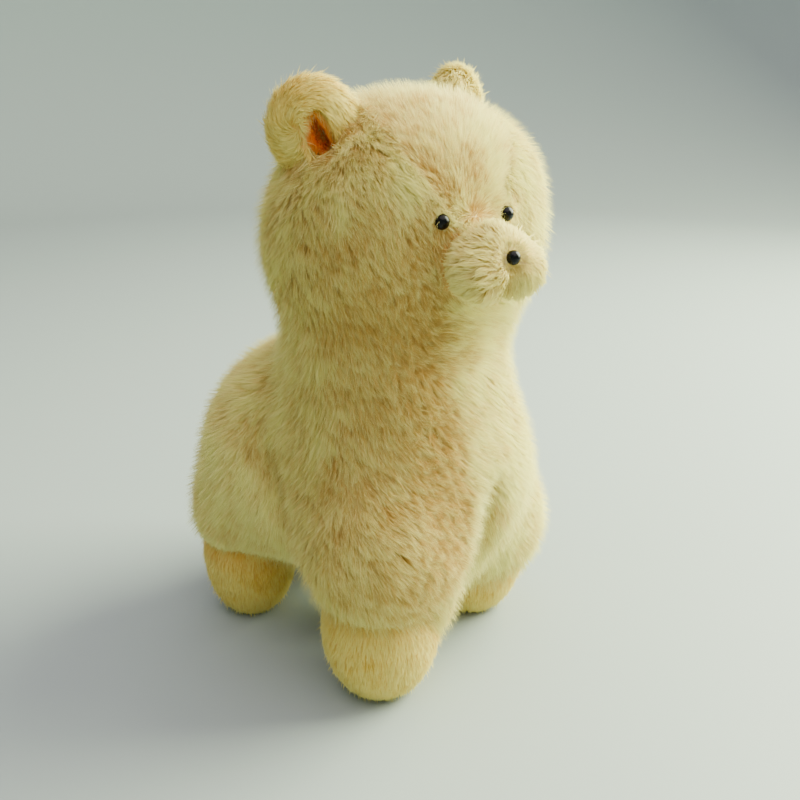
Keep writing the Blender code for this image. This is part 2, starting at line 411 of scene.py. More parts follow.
covered = ramp(to_ear, 0.6 * MM, 1.6 * MM) * ramp(to_muzzle, 0.6 * MM, 1.6 * MM)
covered *= ramp(to_foot, 0.6 * MM, 1.4 * MM) * ramp(to_eye, 3.2 * MM, 3.9 * MM)
store(body.data, "cover", covered)
hem = (ramp(height, 54, 42) * ramp(points[:, 1], 0.0, 20 * MM)
       * ramp(points[:, 0], -20 * MM, -40 * MM))
long_pile = 1 - SHORTER_ON_FACE * face
long_pile *= 1 - SHORTER_ON_CROWN * ramp(height, 190, 220)
long_pile *= 1 - SHORTER_AT_HEM * hem
store(body.data, "long", long_pile)
# Painted shade: the crease where the muzzle meets the face, on its right, is coloured orange.
beside_muzzle = ramp(np.abs(to_muzzle), 3.5 * MM, 0.5 * MM) * ramp(across_head, -3 * MM, -12 * MM)
store(body.data, "orange_shade", SHADE_BESIDE_MUZZLE * beside_muzzle)

# More of the tan root of the pile shows along the ruffled parting, on the right side, on the
# cheek and over the forehead; tan is also laid into the creases, and a little along the strip's
# edges, as painted shade.  Each of these adds its own share; the front left is painted paler
# where the window light falls, and the back is paler by its share.
TAN = 0.16
TAN_RIGHT = 0.34
TAN_PARTING = 0.52
TAN_CHEEK = 0.42
TAN_FOREHEAD = 0.28
TAN_AND_SHADE_STRIP_EDGE = 0.08
SHADE_FLANK_CREASE = 0.25
SHADE_FRONT_CREASE = 0.20
PAINTED_LIGHT_LEFT = 0.30
PALE_BACK = 0.15
LEAST_RUFFLED = 0.25         # away from the parting
PARTING = -50                # its place, in degrees round the neck from the front
PARTING_SWAY = 12            # on the chest it swings this much nearer the front

parting = PARTING + PARTING_SWAY * band(height, 50, 75, 115, 150)
from_parting = turned - parting
tan = TAN_RIGHT * ramp(from_parting, -62, -14) + TAN_PARTING * ramp(np.abs(from_parting), 16, 4)
tan *= ramp(from_parting, 22, 0) * band(height, 38, 70, 166, 186)
strip_edge = ramp(np.abs(np.abs(across_head) - half_strip), 7 * MM, 1 * MM)
strip_edge *= band(height, 205, 212, 236, 246) * ramp(along_head, -40 * MM, -25 * MM)
forehead = strip * band(height, 203, 212, 230, 248)
forehead *= ramp(across_head, 16 * MM, 0) * ramp(along_head, -42 * MM, -30 * MM)
mid_cheek = band(turned, -105, -70, -45, -20) * band(height, 150, 165, 190, 208)
# At the strip's edges the tan is partly roots showing where two lies of pile meet and partly
# painted shade along that ridge.
tan += TAN_AND_SHADE_STRIP_EDGE * strip_edge + TAN_FOREHEAD * forehead + TAN_CHEEK * mid_cheek
# Painted shade: tan laid into the creases behind and between the front legs.
tan += SHADE_FLANK_CREASE * flank_crease * ramp(height, 40, 60) + SHADE_FRONT_CREASE * front_crease
# Painted light: where the window light falls, in front left of the parting, the pile is made paler,
# and the rest of the left side a little.
tan -= PAINTED_LIGHT_LEFT * band(turned, -34, -8, 130, 178) * (1 - 0.7 * ramp(turned, 10, 40))
tan -= PALE_BACK * ramp(turned, -110, -135)
# This tan holds real tan, the painted shade of the creases and strip edges, and the painted light
# of the front left.
store(body.data, "tan", np.clip(tan + TAN, 0, 1))
ruffled = ramp(np.abs(from_parting), 15, 5) * band(height, 45, 70, 172, 190)
store(body.data, "ruffled", LEAST_RUFFLED + (1 - LEAST_RUFFLED) * ruffled)

PATCHES = {"Scale": 1 / (10 * MM), "Detail": 2.5}    # browner and paler, about 10 mm across
PATCH_EDGES = {"From Min": 0.32, "From Max": 0.68}
PATCH_WEIGHT = 0.6           # how much a patch counts for, against the tan of its place
KNIT = 0.7 * MM              # one stitch of the cloth
STITCH_RELIEF = 0.3 * MM
PAINTED_SHADE_ORANGE = "#FF9008"             # painted shade: the deep orange that light takes in the creases, folds and hems of the pile


def knitted(name, pale, deep):
    """Knitted polyester: a matt cloth in fine stitches, deeper in colour than its pile."""
    material, tree, shader = new_material(name, Roughness=0.95, Sheen_Weight=0.3)
    place = add(tree, "ShaderNodeTexCoord").outputs["Object"]
    tone = add(tree, "ShaderNodeTexNoise", {"Vector": place, **PATCHES})
    tan, orange_shade = (add(tree, "ShaderNodeAttribute", attribute_name=label).outputs["Fac"]
                 for label in ("tan", "orange_shade"))
    # The tan read here carries painted shade and painted light from the skin as well as real tan.
    brown = add(tree, "ShaderNodeMapRange", {"Value": tone, **PATCH_EDGES})
    brown = add(tree, "ShaderNodeMath", {0: brown, 1: PATCH_WEIGHT, 2: tan},
                operation="MULTIPLY_ADD")
    brown = add(tree, "ShaderNodeMapRange", {"Value": brown, "From Min": 0.15, "From Max": 1.0})
    colour = add(tree, "ShaderNodeMix", {"Factor": brown, "A": linear(pale), "B": linear(deep)},
                 data_type="RGBA")
    # Painted shade: orange in the creases, folds and under the hems, as on the pile.
    colour = add(tree, "ShaderNodeMix", {"Factor": orange_shade, "A": colour, "B": linear(PAINTED_SHADE_ORANGE)},
                 data_type="RGBA")
    stitch = add(tree, "ShaderNodeTexNoise", {"Vector": place, "Scale": 1 / KNIT, "Detail": 1.0})
    bump = add(tree, "ShaderNodeBump", {"Strength": 0.4, "Distance": STITCH_RELIEF,
                                        "Height": stitch})
    tree.links.new(colour.outputs["Result"], shader.inputs["Base Color"])
    tree.links.new(bump.outputs["Normal"], shader.inputs["Normal"])
    return material


# Knitted cream backing: a dull, slightly rough ground that darkens the gaps in the pile.
backing = knitted("knitted cream backing", "#F0DC9C", "#E0BC78")
body.data.materials.append(backing)
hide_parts(*BODY_NODES)
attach(body, "root")


# --- Long pile ----------------------------------------------------------------------------
# The pile of the body is crimped polyester fibre, 8 to 12 mm long, brushed into fine locks
# that lie down over each other.  Each lock is a thin blade that leans with its neighbours
# towards a common tip, so the coat gathers into soft clumps and parts between them.

BAKE_PATCH = 0.003           # width of one lock's patch on the unwrap
FLOOR_GAP = 0.05 * MM        # the least height of a lock above the floor

# One lock.
TAPER = 2.2                  # how late it narrows: 1 would be an even taper
WAVE_TURN = 9.0              # the angle, in radians, that its wave goes through
ARCH_TURN = 2.6              # and its arch
TIP_WELD = 0.003 * MM

# How locks vary.
DRIFT_SIZE = 14 * MM         # the slow wander of the coat, from one turn to the next
DRIFT_REACH = 5 * MM         # and how far it shifts the clumps
BROAD_SHARE = 0.3            # the width of a small clump against a large one
BROAD_PULL = 0.35            # and the pull of a large one against a small one
RUFFLED_GATHER = 2.4         # ruffled pile gathers this much more
LIFT_SPREAD = {"To Min": 0.75, "To Max": 1.25}
STRAY_LIFT = 0.75            # a stray lock stands up this much more
JITTER = 0.14                # how far each lock turns aside by itself
ROLL = 0.7                   # radians, either way
CLUMP_STRETCH = 0.22         # a clump may be this much longer than its neighbours
STRETCH_SPREAD = {"Min": 0.72, "Max": 1.0}
GIRTH_SPREAD = {"Min": 0.6, "Max": 1.3}

# What each coat sets: the skin's region that it grows on, the points along a lock, how many
# locks a square metre holds, their size, how steeply they rise, their arch and wave, the
# width of a clump and how far locks lean to its middle, how far clumps and the coat turn
# aside, the share of stray locks, and how far locks are shaded as the skin under them.
PILE_INPUTS = {
    **dict.fromkeys(("Region", "Seed", "Rows"), "NodeSocketInt"),
    **dict.fromkeys(("Density", "Length", "Width", "Lift", "Arch", "Wave", "Clump", "Gather",
                     "Ruffle", "Wander", "Stray", "Soft"), "NodeSocketFloat"),
    "Material": "NodeSocketMaterial",
}


def pile_tree():
    """Geometry Nodes that grow locks of pile on one region of a skin; returns them and the
    identifiers of their inputs."""
    tree = bpy.data.node_groups.new("Pile", "GeometryNodeTree")
    tree.interface.new_socket("Skin", in_out="INPUT", socket_type="NodeSocketGeometry")
    inputs = {name: tree.interface.new_socket(name, in_out="INPUT", socket_type=kind).identifier
              for name, kind in PILE_INPUTS.items()}
    tree.interface.new_socket("Coat", in_out="OUTPUT", socket_type="NodeSocketGeometry")
    given = add(tree, "NodeGroupInput").outputs
    point = add(tree, "GeometryNodeInputPosition")
    along, across, cover, long_pile, ruffled = (
        add(tree, "GeometryNodeInputNamedAttribute", {"Name": name})
        for name in ("along", "across", "cover", "long", "ruffled"))
    lie, root_normal, unwrapped = (
        add(tree, "GeometryNodeInputNamedAttribute", {"Name": name}, data_type="FLOAT_VECTOR")
        for name in ("lie", "root normal", "unwrap"))

    # One lock: a narrow blade that tapers, arches over and waves on its way to the tip.
    lock = add(tree, "GeometryNodeMeshGrid", {"Size X": 1.0, "Size Y": 1.0, "Vertices X": 2,
                                              "Vertices Y": given["Rows"]}).outputs["Mesh"]
    place = add(tree, "ShaderNodeSeparateXYZ", {0: point}).outputs
    share = add(tree, "ShaderNodeMath", {0: place["Y"], 1: 0.5}, operation="ADD")
    for name, value in (("along", share), ("across", place["X"])):
        lock = add(tree, "GeometryNodeStoreNamedAttribute", {"Geometry": lock, "Name": name,
                                                             "Value": value})
    taper = add(tree, "ShaderNodeMath", {0: along, 1: TAPER}, operation="POWER")
    taper = add(tree, "ShaderNodeMath", {0: 1.0, 1: taper}, operation="SUBTRACT")
    width = add(tree, "ShaderNodeMath", {0: taper, 1: given["Width"]}, operation="MULTIPLY")
    swing = add(tree, "ShaderNodeMath", {0: along, 1: WAVE_TURN}, operation="MULTIPLY")
    swing = add(tree, "ShaderNodeMath", {0: swing}, operation="SINE")
    for factor in (along, given["Wave"], given["Length"]):
        swing = add(tree, "ShaderNodeMath", {0: swing, 1: factor}, operation="MULTIPLY")
    side = add(tree, "ShaderNodeMath", {0: across, 1: width, 2: swing}, operation="MULTIPLY_ADD")
    arch = add(tree, "ShaderNodeMath", {0: along, 1: ARCH_TURN}, operation="MULTIPLY")
    arch = add(tree, "ShaderNodeMath", {0: arch}, operation="SINE")
    for factor in (given["Arch"], given["Length"]):
        arch = add(tree, "ShaderNodeMath", {0: arch, 1: factor}, operation="MULTIPLY")
    reach = add(tree, "ShaderNodeMath", {0: along, 1: given["Length"]}, operation="MULTIPLY")
    shape = add(tree, "ShaderNodeCombineXYZ", {"X": side, "Y": reach, "Z": arch})
    lock = add(tree, "GeometryNodeSetPosition", {"Geometry": lock, "Position": shape})
    lock = add(tree, "GeometryNodeMergeByDistance", {"Geometry": lock, "Distance": TIP_WELD})

    # Roots: spread over the region, thinner where the skin says so.
    region = add(tree, "GeometryNodeInputNamedAttribute", {"Name": "region"}, data_type="INT")
    region = add(tree, "FunctionNodeCompare", {"A": region, "B": given["Region"]}, data_type="INT",
                 operation="EQUAL")
    density = add(tree, "ShaderNodeMath", {0: cover, 1: given["Density"]}, operation="MULTIPLY")
    roots = add(tree, "GeometryNodeDistributePointsOnFaces", {
        "Mesh": given["Skin"], "Selection": region, "Density": density,
        "Seed": given["Seed"]}).outputs
    normal = roots["Normal"]
    length = add(tree, "ShaderNodeMath", {0: long_pile, 1: given["Length"]}, operation="MULTIPLY")

    # Clumps: uneven cells on the skin, small ones in large ones.  The locks of a cell lean
    # towards its middle, and each small cell has a turn, a lift and a length of its own.
    drift = add(tree, "ShaderNodeTexNoise", {
        "Vector": point, "Scale": 1 / DRIFT_SIZE, "Detail": 3.0,
        "Roughness": 0.72}).outputs["Color"]
    drift = add(tree, "ShaderNodeVectorMath", {0: drift, 1: (0.5, 0.5, 0.5)}, operation="SUBTRACT")
    where = add(tree, "ShaderNodeVectorMath", {0: drift, 1: (DRIFT_REACH,) * 3, 2: point},
                operation="MULTIPLY_ADD")
    scale = add(tree, "ShaderNodeMath", {0: 1.0, 1: given["Clump"]}, operation="DIVIDE")
    fine = add(tree, "ShaderNodeTexVoronoi", {"Vector": where, "Scale": scale}).outputs
    scale = add(tree, "ShaderNodeMath", {0: BROAD_SHARE, 1: given["Clump"]}, operation="DIVIDE")
    broad = add(tree, "ShaderNodeTexVoronoi", {"Vector": where, "Scale": scale}).outputs
    chance = add(tree, "ShaderNodeSeparateXYZ", {0: fine["Color"]}).outputs
    stray = add(tree, "FunctionNodeRandomValue", {"Min": 0.0, "Max": 1.0, "Seed": 11},
                data_type="FLOAT")
    stray = add(tree, "ShaderNodeMath", {0: stray, 1: given["Stray"]}, operation="LESS_THAN")
    kept = add(tree, "ShaderNodeMath", {0: 1.0, 1: stray}, operation="SUBTRACT")
    gather = add(tree, "ShaderNodeMapRange", {"Value": ruffled, "From Min": LEAST_RUFFLED,
                                              "To Min": 1.0, "To Max": RUFFLED_GATHER})
    gather = add(tree, "ShaderNodeMath", {0: gather, 1: given["Gather"]}, operation="MULTIPLY")
    pull = add(tree, "ShaderNodeMath", {0: gather, 1: length}, operation="DIVIDE")
    pull = add(tree, "ShaderNodeMath", {0: pull, 1: kept}, operation="MULTIPLY")
    broad_pull = add(tree, "ShaderNodeMath", {0: pull, 1: BROAD_PULL}, operation="MULTIPLY")

    # Direction: along the lie of the coat, turned by all of these within the skin's own plane,
    # and then lifted off it.
    lift = add(tree, "ShaderNodeMapRange", {"Value": chance["X"], **LIFT_SPREAD})
    lift = add(tree, "ShaderNodeMath", {0: lift, 1: given["Lift"]}, operation="MULTIPLY")
    lift = add(tree, "ShaderNodeMath", {0: stray, 1: STRAY_LIFT, 2: lift}, operation="MULTIPLY_ADD")
    heading = add(tree, "ShaderNodeVectorMath", {0: drift, 1: given["Wander"], 2: lie},
                  operation="MULTIPLY_ADD")
    for cells, strength in ((fine, pull), (broad, broad_pull)):
        lean = add(tree, "ShaderNodeVectorMath", {0: cells["Position"], 1: where},
                   operation="SUBTRACT")
        heading = add(tree, "ShaderNodeVectorMath", {0: lean, 1: strength, 2: heading},
                      operation="MULTIPLY_ADD")
    turn = add(tree, "ShaderNodeVectorMath", {0: fine["Color"], 1: (0.5, 0.5, 0.5)},
               operation="SUBTRACT")
    ruffle = add(tree, "ShaderNodeMath", {0: ruffled, 1: given["Ruffle"]}, operation="MULTIPLY")
    heading = add(tree, "ShaderNodeVectorMath", {0: turn, 1: ruffle, 2: heading},
                  operation="MULTIPLY_ADD")
    jitter = add(tree, "FunctionNodeRandomValue", {"Min": (-JITTER,) * 3, "Max": (JITTER,) * 3,
                                                   "Seed": 2}, data_type="FLOAT_VECTOR")
    heading = add(tree, "ShaderNodeVectorMath", {0: heading, 1: jitter}, operation="ADD")
    sunk = add(tree, "ShaderNodeVectorMath", {0: heading, 1: normal}, operation="PROJECT")
    heading = add(tree, "ShaderNodeVectorMath", {0: heading, 1: sunk}, operation="SUBTRACT")
    heading = add(tree, "ShaderNodeVectorMath", {0: heading}, operation="NORMALIZE")
    heading = add(tree, "ShaderNodeVectorMath", {0: normal, 1: lift, 2: heading},
                  operation="MULTIPLY_ADD")
    stand = add(tree, "FunctionNodeAxesToRotation",
                {"Primary Axis": heading, "Secondary Axis": normal},
                primary_axis="Y", secondary_axis="Z")
    roll = add(tree, "FunctionNodeRandomValue", {"Min": -ROLL, "Max": ROLL, "Seed": 3},
               data_type="FLOAT")
    roll = add(tree, "FunctionNodeEulerToRotation",
               {0: add(tree, "ShaderNodeCombineXYZ", {"Y": roll})})
    stand = add(tree, "FunctionNodeRotateRotation", {"Rotation": stand, "Rotate By": roll},
                rotation_space="LOCAL")

    # Size, and the tones that the material reads.
    stretch = add(tree, "FunctionNodeRandomValue", {**STRETCH_SPREAD, "Seed": 4}, data_type="FLOAT")
    stretch = add(tree, "ShaderNodeMath", {0: chance["Y"], 1: CLUMP_STRETCH, 2: stretch},
                  operation="MULTIPLY_ADD")
    stretch = add(tree, "ShaderNodeMath", {0: stretch, 1: long_pile}, operation="MULTIPLY")
    girth = add(tree, "FunctionNodeRandomValue", {**GIRTH_SPREAD, "Seed": 5}, data_type="FLOAT")
    size = add(tree, "ShaderNodeCombineXYZ", {"X": girth, "Y": stretch, "Z": stretch})
    tone = add(tree, "ShaderNodeTexNoise", {"Vector": point, **PATCHES})
    shade = add(tree, "FunctionNodeRandomValue", {"Min": 0.0, "Max": 0.5, "Seed": 6},
                data_type="FLOAT")
    shade = add(tree, "ShaderNodeMath", {0: chance["Z"], 1: 0.5, 2: shade},
                operation="MULTIPLY_ADD")
    points = roots["Points"]
    for name, value, kind in (("shade", shade, "FLOAT"), ("tone", tone, "FLOAT"),
                              ("root normal", normal, "FLOAT_VECTOR")):
        points = add(tree, "GeometryNodeStoreNamedAttribute", {"Geometry": points, "Name": name,
                                                               "Value": value}, data_type=kind)
    coat = add(tree, "GeometryNodeInstanceOnPoints", {"Points": points, "Instance": lock,
                                                      "Rotation": stand, "Scale": size})
    coat = add(tree, "GeometryNodeRealizeInstances", {"Geometry": coat})

    # The locks that reach the floor lie on it.
    place = add(tree, "ShaderNodeSeparateXYZ", {0: point}).outputs
    above = add(tree, "ShaderNodeMath", {0: place["Z"], 1: FLOOR_GAP}, operation="MAXIMUM")
    place = add(tree, "ShaderNodeCombineXYZ", {"X": place["X"], "Y": place["Y"], "Z": above})
    coat = add(tree, "GeometryNodeSetPosition", {"Geometry": coat, "Position": place})

    # Fine fibres scatter light between them, so a lock is shaded partly as the skin under it.
    own_normal = add(tree, "GeometryNodeInputNormal")
    facing = add(tree, "ShaderNodeMix",
                 {"Factor": given["Soft"], "A": own_normal, "B": root_normal}, data_type="VECTOR")
    facing = add(tree, "ShaderNodeVectorMath", {0: facing}, operation="NORMALIZE")
    coat = add(tree, "GeometryNodeSetMeshNormal", {"Mesh": coat, "Custom Normal": facing},
               mode="FREE", domain="POINT")

    # Each lock keeps a small patch at its root's place on the unwrapped skin.
    patch = add(tree, "ShaderNodeMath", {0: along, 1: 0.5}, operation="SUBTRACT")
    patch = add(tree, "ShaderNodeCombineXYZ", {"X": across, "Y": patch})
    patch = add(tree, "ShaderNodeVectorMath", {0: patch, 1: (BAKE_PATCH,) * 3, 2: unwrapped},
                operation="MULTIPLY_ADD")
    coat = add(tree, "GeometryNodeStoreNamedAttribute",
               {"Geometry": coat, "Name": "OFBake", "Value": patch},
               data_type="FLOAT2", domain="CORNER")
    for spare in ("lie", "ruffled", "cover", "long", "region", "unwrap", "across", "root normal"):
        coat = add(tree, "GeometryNodeRemoveAttribute", {"Geometry": coat, "Name": spare})
    coat = add(tree, "GeometryNodeSetMaterial", {"Geometry": coat, "Material": given["Material"]})
    add(tree, "NodeGroupOutput", {0: coat})
    return tree, inputs


PILE, PILE_SOCKETS = pile_tree()
ISLAND_ANGLE = math.radians(66)
ISLAND_GAP = 0.01


def unwrap(item, region):
    """Number the faces' regions and unwrap each region by itself, to fill the map."""
    mesh = item.data
    mesh.attributes.new("region", "INT", "FACE").data.foreach_set("value", region)
    mesh.uv_layers.new(name="unwrap")
    bpy.ops.object.select_all(action="DESELECT")
    item.select_set(True)
    bpy.context.view_layer.objects.active = item
    for number in np.unique(region):
        mesh.polygons.foreach_set("select", region == number)
        bpy.ops.object.mode_set(mode="EDIT")
        bpy.ops.mesh.select_mode(type="FACE")
        bpy.ops.uv.smart_project(angle_limit=ISLAND_ANGLE, island_margin=ISLAND_GAP)
        bpy.ops.object.mode_set(mode="OBJECT")
    item.select_set(False)


def grow(name, skin, material, slot, **values):
    """A coat piece: grow the pile on one region of a skin and keep it as a plain mesh."""
    item = show(name, skin.data.copy())
    item.data.materials.clear()
    pile = item.modifiers.new("Pile", "NODES")
    pile.node_group = PILE
    for label, value in values.items():
        pile[PILE_SOCKETS[label.replace("_", " ")]] = value
    pile[PILE_SOCKETS["Material"]] = material
    settle(item)
    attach(item, "root")


def face_centres(mesh):
    values = np.empty(len(mesh.polygons) * 3)
    mesh.polygons.foreach_get("center", values)
    return values.reshape(-1, 3)


FIBRE_LETS_THROUGH = 0.35    # fine clear fibre: light comes through the locks as well as off them
SHEEN_COLOUR = "#FFF4B0"
BROWN_REACH = {"To Min": 0.6, "To Max": 3.4}     # how far up a lock the tan of its root reaches
LOCK_SHADE = -0.3            # and how much locks differ in it
ROOT_TO_HALF = {"From Min": 1.10, "From Max": 0.55}      # from the tip, in lengths of a lock
HALF_TO_TIP = {"From Min": 0.65, "From Max": 0.10}
LOCK_BRIGHTNESS = {"To Min": 0.94, "To Max": 1.04}


def plush(name, root, half, tip, sheen):
    """The material of a pile: its colours from root to tip.  Where orange shade is painted in
    the creases and folds, it colours the whole lock."""
    material, tree, shader = new_material(name, Roughness=0.75, Sheen_Weight=sheen,
                                          Sheen_Roughness=0.5, Sheen_Tint=linear(SHEEN_COLOUR),
                                          Specular_IOR_Level=0.15)
    along, shade, tone, tan, orange_shade = (
        add(tree, "ShaderNodeAttribute", attribute_name=label).outputs["Fac"]
        for label in ("along", "shade", "tone", "tan", "orange_shade"))
    # The tan read here carries painted shade and painted light from the skin as well as real tan.
    brown = add(tree, "ShaderNodeMapRange", {"Value": tone, **PATCH_EDGES})
    brown = add(tree, "ShaderNodeMath", {0: brown, 1: PATCH_WEIGHT, 2: tan},
                operation="MULTIPLY_ADD")
    brown = add(tree, "ShaderNodeMath", {0: shade, 1: LOCK_SHADE, 2: brown},
                operation="MULTIPLY_ADD")
    brown = add(tree, "ShaderNodeMapRange", {"Value": brown, **BROWN_REACH})
    from_tip = add(tree, "ShaderNodeMath", {0: 1.0, 1: along}, operation="SUBTRACT")
    from_tip = add(tree, "ShaderNodeMath", {0: from_tip, 1: brown}, operation="MULTIPLY")
    low = add(tree, "ShaderNodeMapRange", {"Value": from_tip, **ROOT_TO_HALF})
    high = add(tree, "ShaderNodeMapRange", {"Value": from_tip, **HALF_TO_TIP})
    colour = linear(root)
    for share, next_colour in ((low, half), (high, tip), (orange_shade, PAINTED_SHADE_ORANGE)):
        colour = add(tree, "ShaderNodeMix",
                     {"Factor": share, "A": colour, "B": linear(next_colour)}, data_type="RGBA")
    value = add(tree, "ShaderNodeMapRange", {"Value": shade, **LOCK_BRIGHTNESS})
    colour = add(tree, "ShaderNodeHueSaturation", {"Color": colour, "Value": value})
    tree.links.new(colour.outputs["Color"], shader.inputs["Base Color"])
    # Light through the locks takes the painted orange shade as well.
    through = add(tree, "ShaderNodeMix", {"Factor": orange_shade, "A": linear(tip), "B": linear(PAINTED_SHADE_ORANGE)},
                  data_type="RGBA")
    through = add(tree, "ShaderNodeBsdfTranslucent", {"Color": through})
    fibre = add(tree, "ShaderNodeMixShader", {0: FIBRE_LETS_THROUGH, 1: shader, 2: through})
    tree.links.new(fibre.outputs[0], tree.nodes["Material Output"].inputs["Surface"])
    return material


# Crimped polyester pile: each lock is tan at its root and cream at its tip, with a soft
# sheen.  In the browner patches only the very tips are cream.
long_plush = plush("crimped polyester pile", "#CC9B50", "#F1DA8E", "#FCF8A6", sheen=0.45)

# The coat is made in bands, each up to its level, and in a right and a left half.
LEVELS = {"legs": 52 * MM, "flank": 92 * MM, "neck": 138 * MM, "cheek": 188 * MM, "crown": 1.0}
COAT_PIECES = [(level, hand) for level in LEVELS for hand in ("right", "left")]
FIRST_SEED = 3

centres = face_centres(body.data)
region = np.digitize(centres[:, 2], list(LEVELS.values())) * 2 + (centres[:, 0] > 0)
unwrap(body, region.astype(np.int32))
for number, (level, hand) in enumerate(COAT_PIECES):
    grow(f"coat_{level}_{hand}", body, long_plush, "long_plush", Region=number,
         Seed=number + FIRST_SEED, Rows=2, Density=9.6e6, Length=9.0 * MM, Width=0.32 * MM,
         Lift=0.33, Arch=0.08, Clump=1.8 * MM, Gather=0.35, Ruffle=2.0, Wander=1.6, Stray=0.13,
         Soft=0.5)


# --- Feet ---------------------------------------------------------------------------------
# Four round pouches of short golden plush, stuffed firmly and sewn into the hems of the legs,
# under the long pile.

def move(item, points):
    """Put a skin's points in new places; returns them and the new normals."""
    item.data.vertices.foreach_set("co", points.ravel())
    item.data.update()
    return points, normals_of(item.data)


def skin_of(name, nodes, voxel, depth, rounds):
    """A soft skin inside the outline of one sewn piece; returns it, its points and normals."""
    item = padded_form(name, nodes, voxel, swell=0.0, rounds=rounds)
    return item, *move(item, points_of(item.data) - normals_of(item.data) * depth)


def ready(item, lie, cover, long_pile, orange_shade, tan):
    """Keep what the pile reads on a skin of one region, and unwrap it."""
    for name, values in (("orange_shade", orange_shade), ("tan", tan), ("ruffled", 1.0), ("lie", lie),
                         ("cover", cover), ("long", long_pile)):
        store(item.data, name, values if np.ndim(values) else np.full(len(lie), values))
    unwrap(item, np.zeros(len(item.data.polygons), dtype=np.int32))


FOOT_DEPTH = 0.9 * MM
FOOT_VOXEL = 1.5 * MM
FOOT_TAN = -0.15             # the gold of the feet is even and pale
FOOT_HEM_SHADE = 0.14             # painted orange shade, a little, just under the hem

# Short polyester pile: dense and golden, cream at the very tips, so it looks soft but smooth.
short_plush = plush("short polyester pile", "#E2B23C", "#F3D062", "#FAEE92", sheen=0.5)
# Knitted golden backing: the same cloth as the body's, dyed to match its pile.
short_backing = knitted("knitted golden backing", "#F0C870", "#E6B158")

for foot in FEET:
    item, points, normals = skin_of(foot + "_skin", [foot], FOOT_VOXEL, FOOT_DEPTH, rounds=6)
    item.data.materials.append(short_backing)
    up_the_leg = depth_outside(foot.replace("foot", "leg"), points)
    ready(item, lie=tangent(np.tile(DOWN, (len(points), 1)), normals),
          cover=ramp(points[:, 2], 0.4 * MM, 1.5 * MM) * ramp(up_the_leg, -2.0 * MM, 1.0 * MM),
          long_pile=1.0, orange_shade=FOOT_HEM_SHADE * ramp(up_the_leg, 8 * MM, 0.0), tan=FOOT_TAN)
    grow("coat_" + foot, item, short_plush, "short_plush", Seed=20, Rows=3, Density=2.6e6,
         Length=4.4 * MM, Width=0.34 * MM, Lift=0.34, Arch=0.08, Clump=1.6 * MM, Gather=0.2,
         Ruffle=0.18, Wander=0.6, Stray=0.04, Soft=0.6)
    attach(item, "root")
    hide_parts(foot)


# --- Ears ---------------------------------------------------------------------------------
# Two thick round ears of golden plush; the left one is painted paler, where the window light
# falls on it.  Each is a disc sewn double and folded down its middle, so that the pile sweeps
# round the rim, and the slit is painted deep orange as the shade deep in the fold.

EAR_FACING = {"ear_right": math.radians(-57), "ear_left": math.radians(17)}      # from the front
EAR_SIDE = {"ear_right": -1, "ear_left": 1}      # which way round the pile sweeps
EAR_DEPTH = 2.2 * MM
EAR_VOXEL = 0.9 * MM
SLIT = (2.6 * MM, 4.4 * MM)  # how deep a place lies where the lining starts, and where it is all
LINING_RAISED = 3.8 * MM     # the lining has almost no pile, so it lies nearer the surface
LINING_SHORTER = 0.6
CURL_BACK = 0.4              # how far the pile of the back turns away from the rim
HANG = 5 * MM                # and how far all of it hangs, against its place on the disc


def hollow(node, points):
    """How deep each point lies under a cloth stretched over the whole node."""
    form = bmesh.new()
    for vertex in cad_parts[node].data.vertices:
        form.verts.new(vertex.co)
    bmesh.ops.convex_hull(form, input=form.verts)
    stretched = BVHTree.FromBMesh(form)
    form.free()
    return np.array([stretched.find_nearest(Vector(point))[3] for point in points])


# Golden polyester pile: a little longer than that of the feet, with pale tips; on the right ear
# it is the ears' cloth painted as it looks in shade.  Pale polyester pile: the same cloth
# painted paler, as it looks in the window's light, on the left ear; on the muzzle this paler
# colour is the pile's own.
shaded_ear_plush = plush("golden polyester pile, painted as in shade", "#DEB84A", "#F4D66C", "#FCF094", sheen=0.5)
pale_and_lit_ear_plush = plush("pale polyester pile, painted lit on the left ear", "#E2C67A", "#F4E090", "#FCF49C", sheen=0.5)
# One cloth: the left ear's paler pile is painted light, the right ear's golden pile painted shade.
EAR_PLUSH = {"ear_right": shaded_ear_plush, "ear_left": pale_and_lit_ear_plush}

for ear, turn in EAR_FACING.items():
    item = padded_form(ear + "_skin", [ear], EAR_VOXEL, swell=0.0, rounds=4)
    item.data.materials.append(short_backing)
    points = points_of(item.data)
    ear_axes = np.array(((math.cos(turn), math.sin(turn), 0.0),      # across the disc
                         (math.sin(turn), -math.cos(turn), 0.0),     # out of its front
                         (0.0, 0.0, 1.0)))
    across, out, up = ((points - middle(ear)) @ ear_axes.T).T
    slit = ramp(hollow(ear, points), *SLIT)
    depth = EAR_DEPTH - LINING_RAISED * slit
    points, normals = move(item, points - normals_of(item.data) * depth[:, None])
    side = EAR_SIDE[ear]
    sweep = np.stack([-up * side, -CURL_BACK * np.abs(out) * (out < 0), across * side], axis=1)
    # The orange of the slit is painted shade, deepest in the fold.
    ready(item, lie=tangent(sweep @ ear_axes + HANG * DOWN, normals),
          cover=ramp(depth_outside("head", points), -3 * MM, 0.0),
          long_pile=1.0 - LINING_SHORTER * slit, orange_shade=slit, tan=0.0)
    grow("coat_" + ear, item, EAR_PLUSH[ear], "short_plush", Seed=30, Rows=3, Density=6.0e6,
         Length=6.0 * MM, Width=0.36 * MM, Lift=0.30, Arch=0.10, Clump=1.8 * MM, Gather=0.13,
         Ruffle=0.18, Wander=0.6, Stray=0.04, Soft=0.6)
    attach(item, "root")
    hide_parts(ear)


# --- Muzzle -------------------------------------------------------------------------------
# Two stuffed puffs under a bridge, of one piece of wavy short plush, sewn to the face.  The
# pile radiates from the nose in small wavy locks.

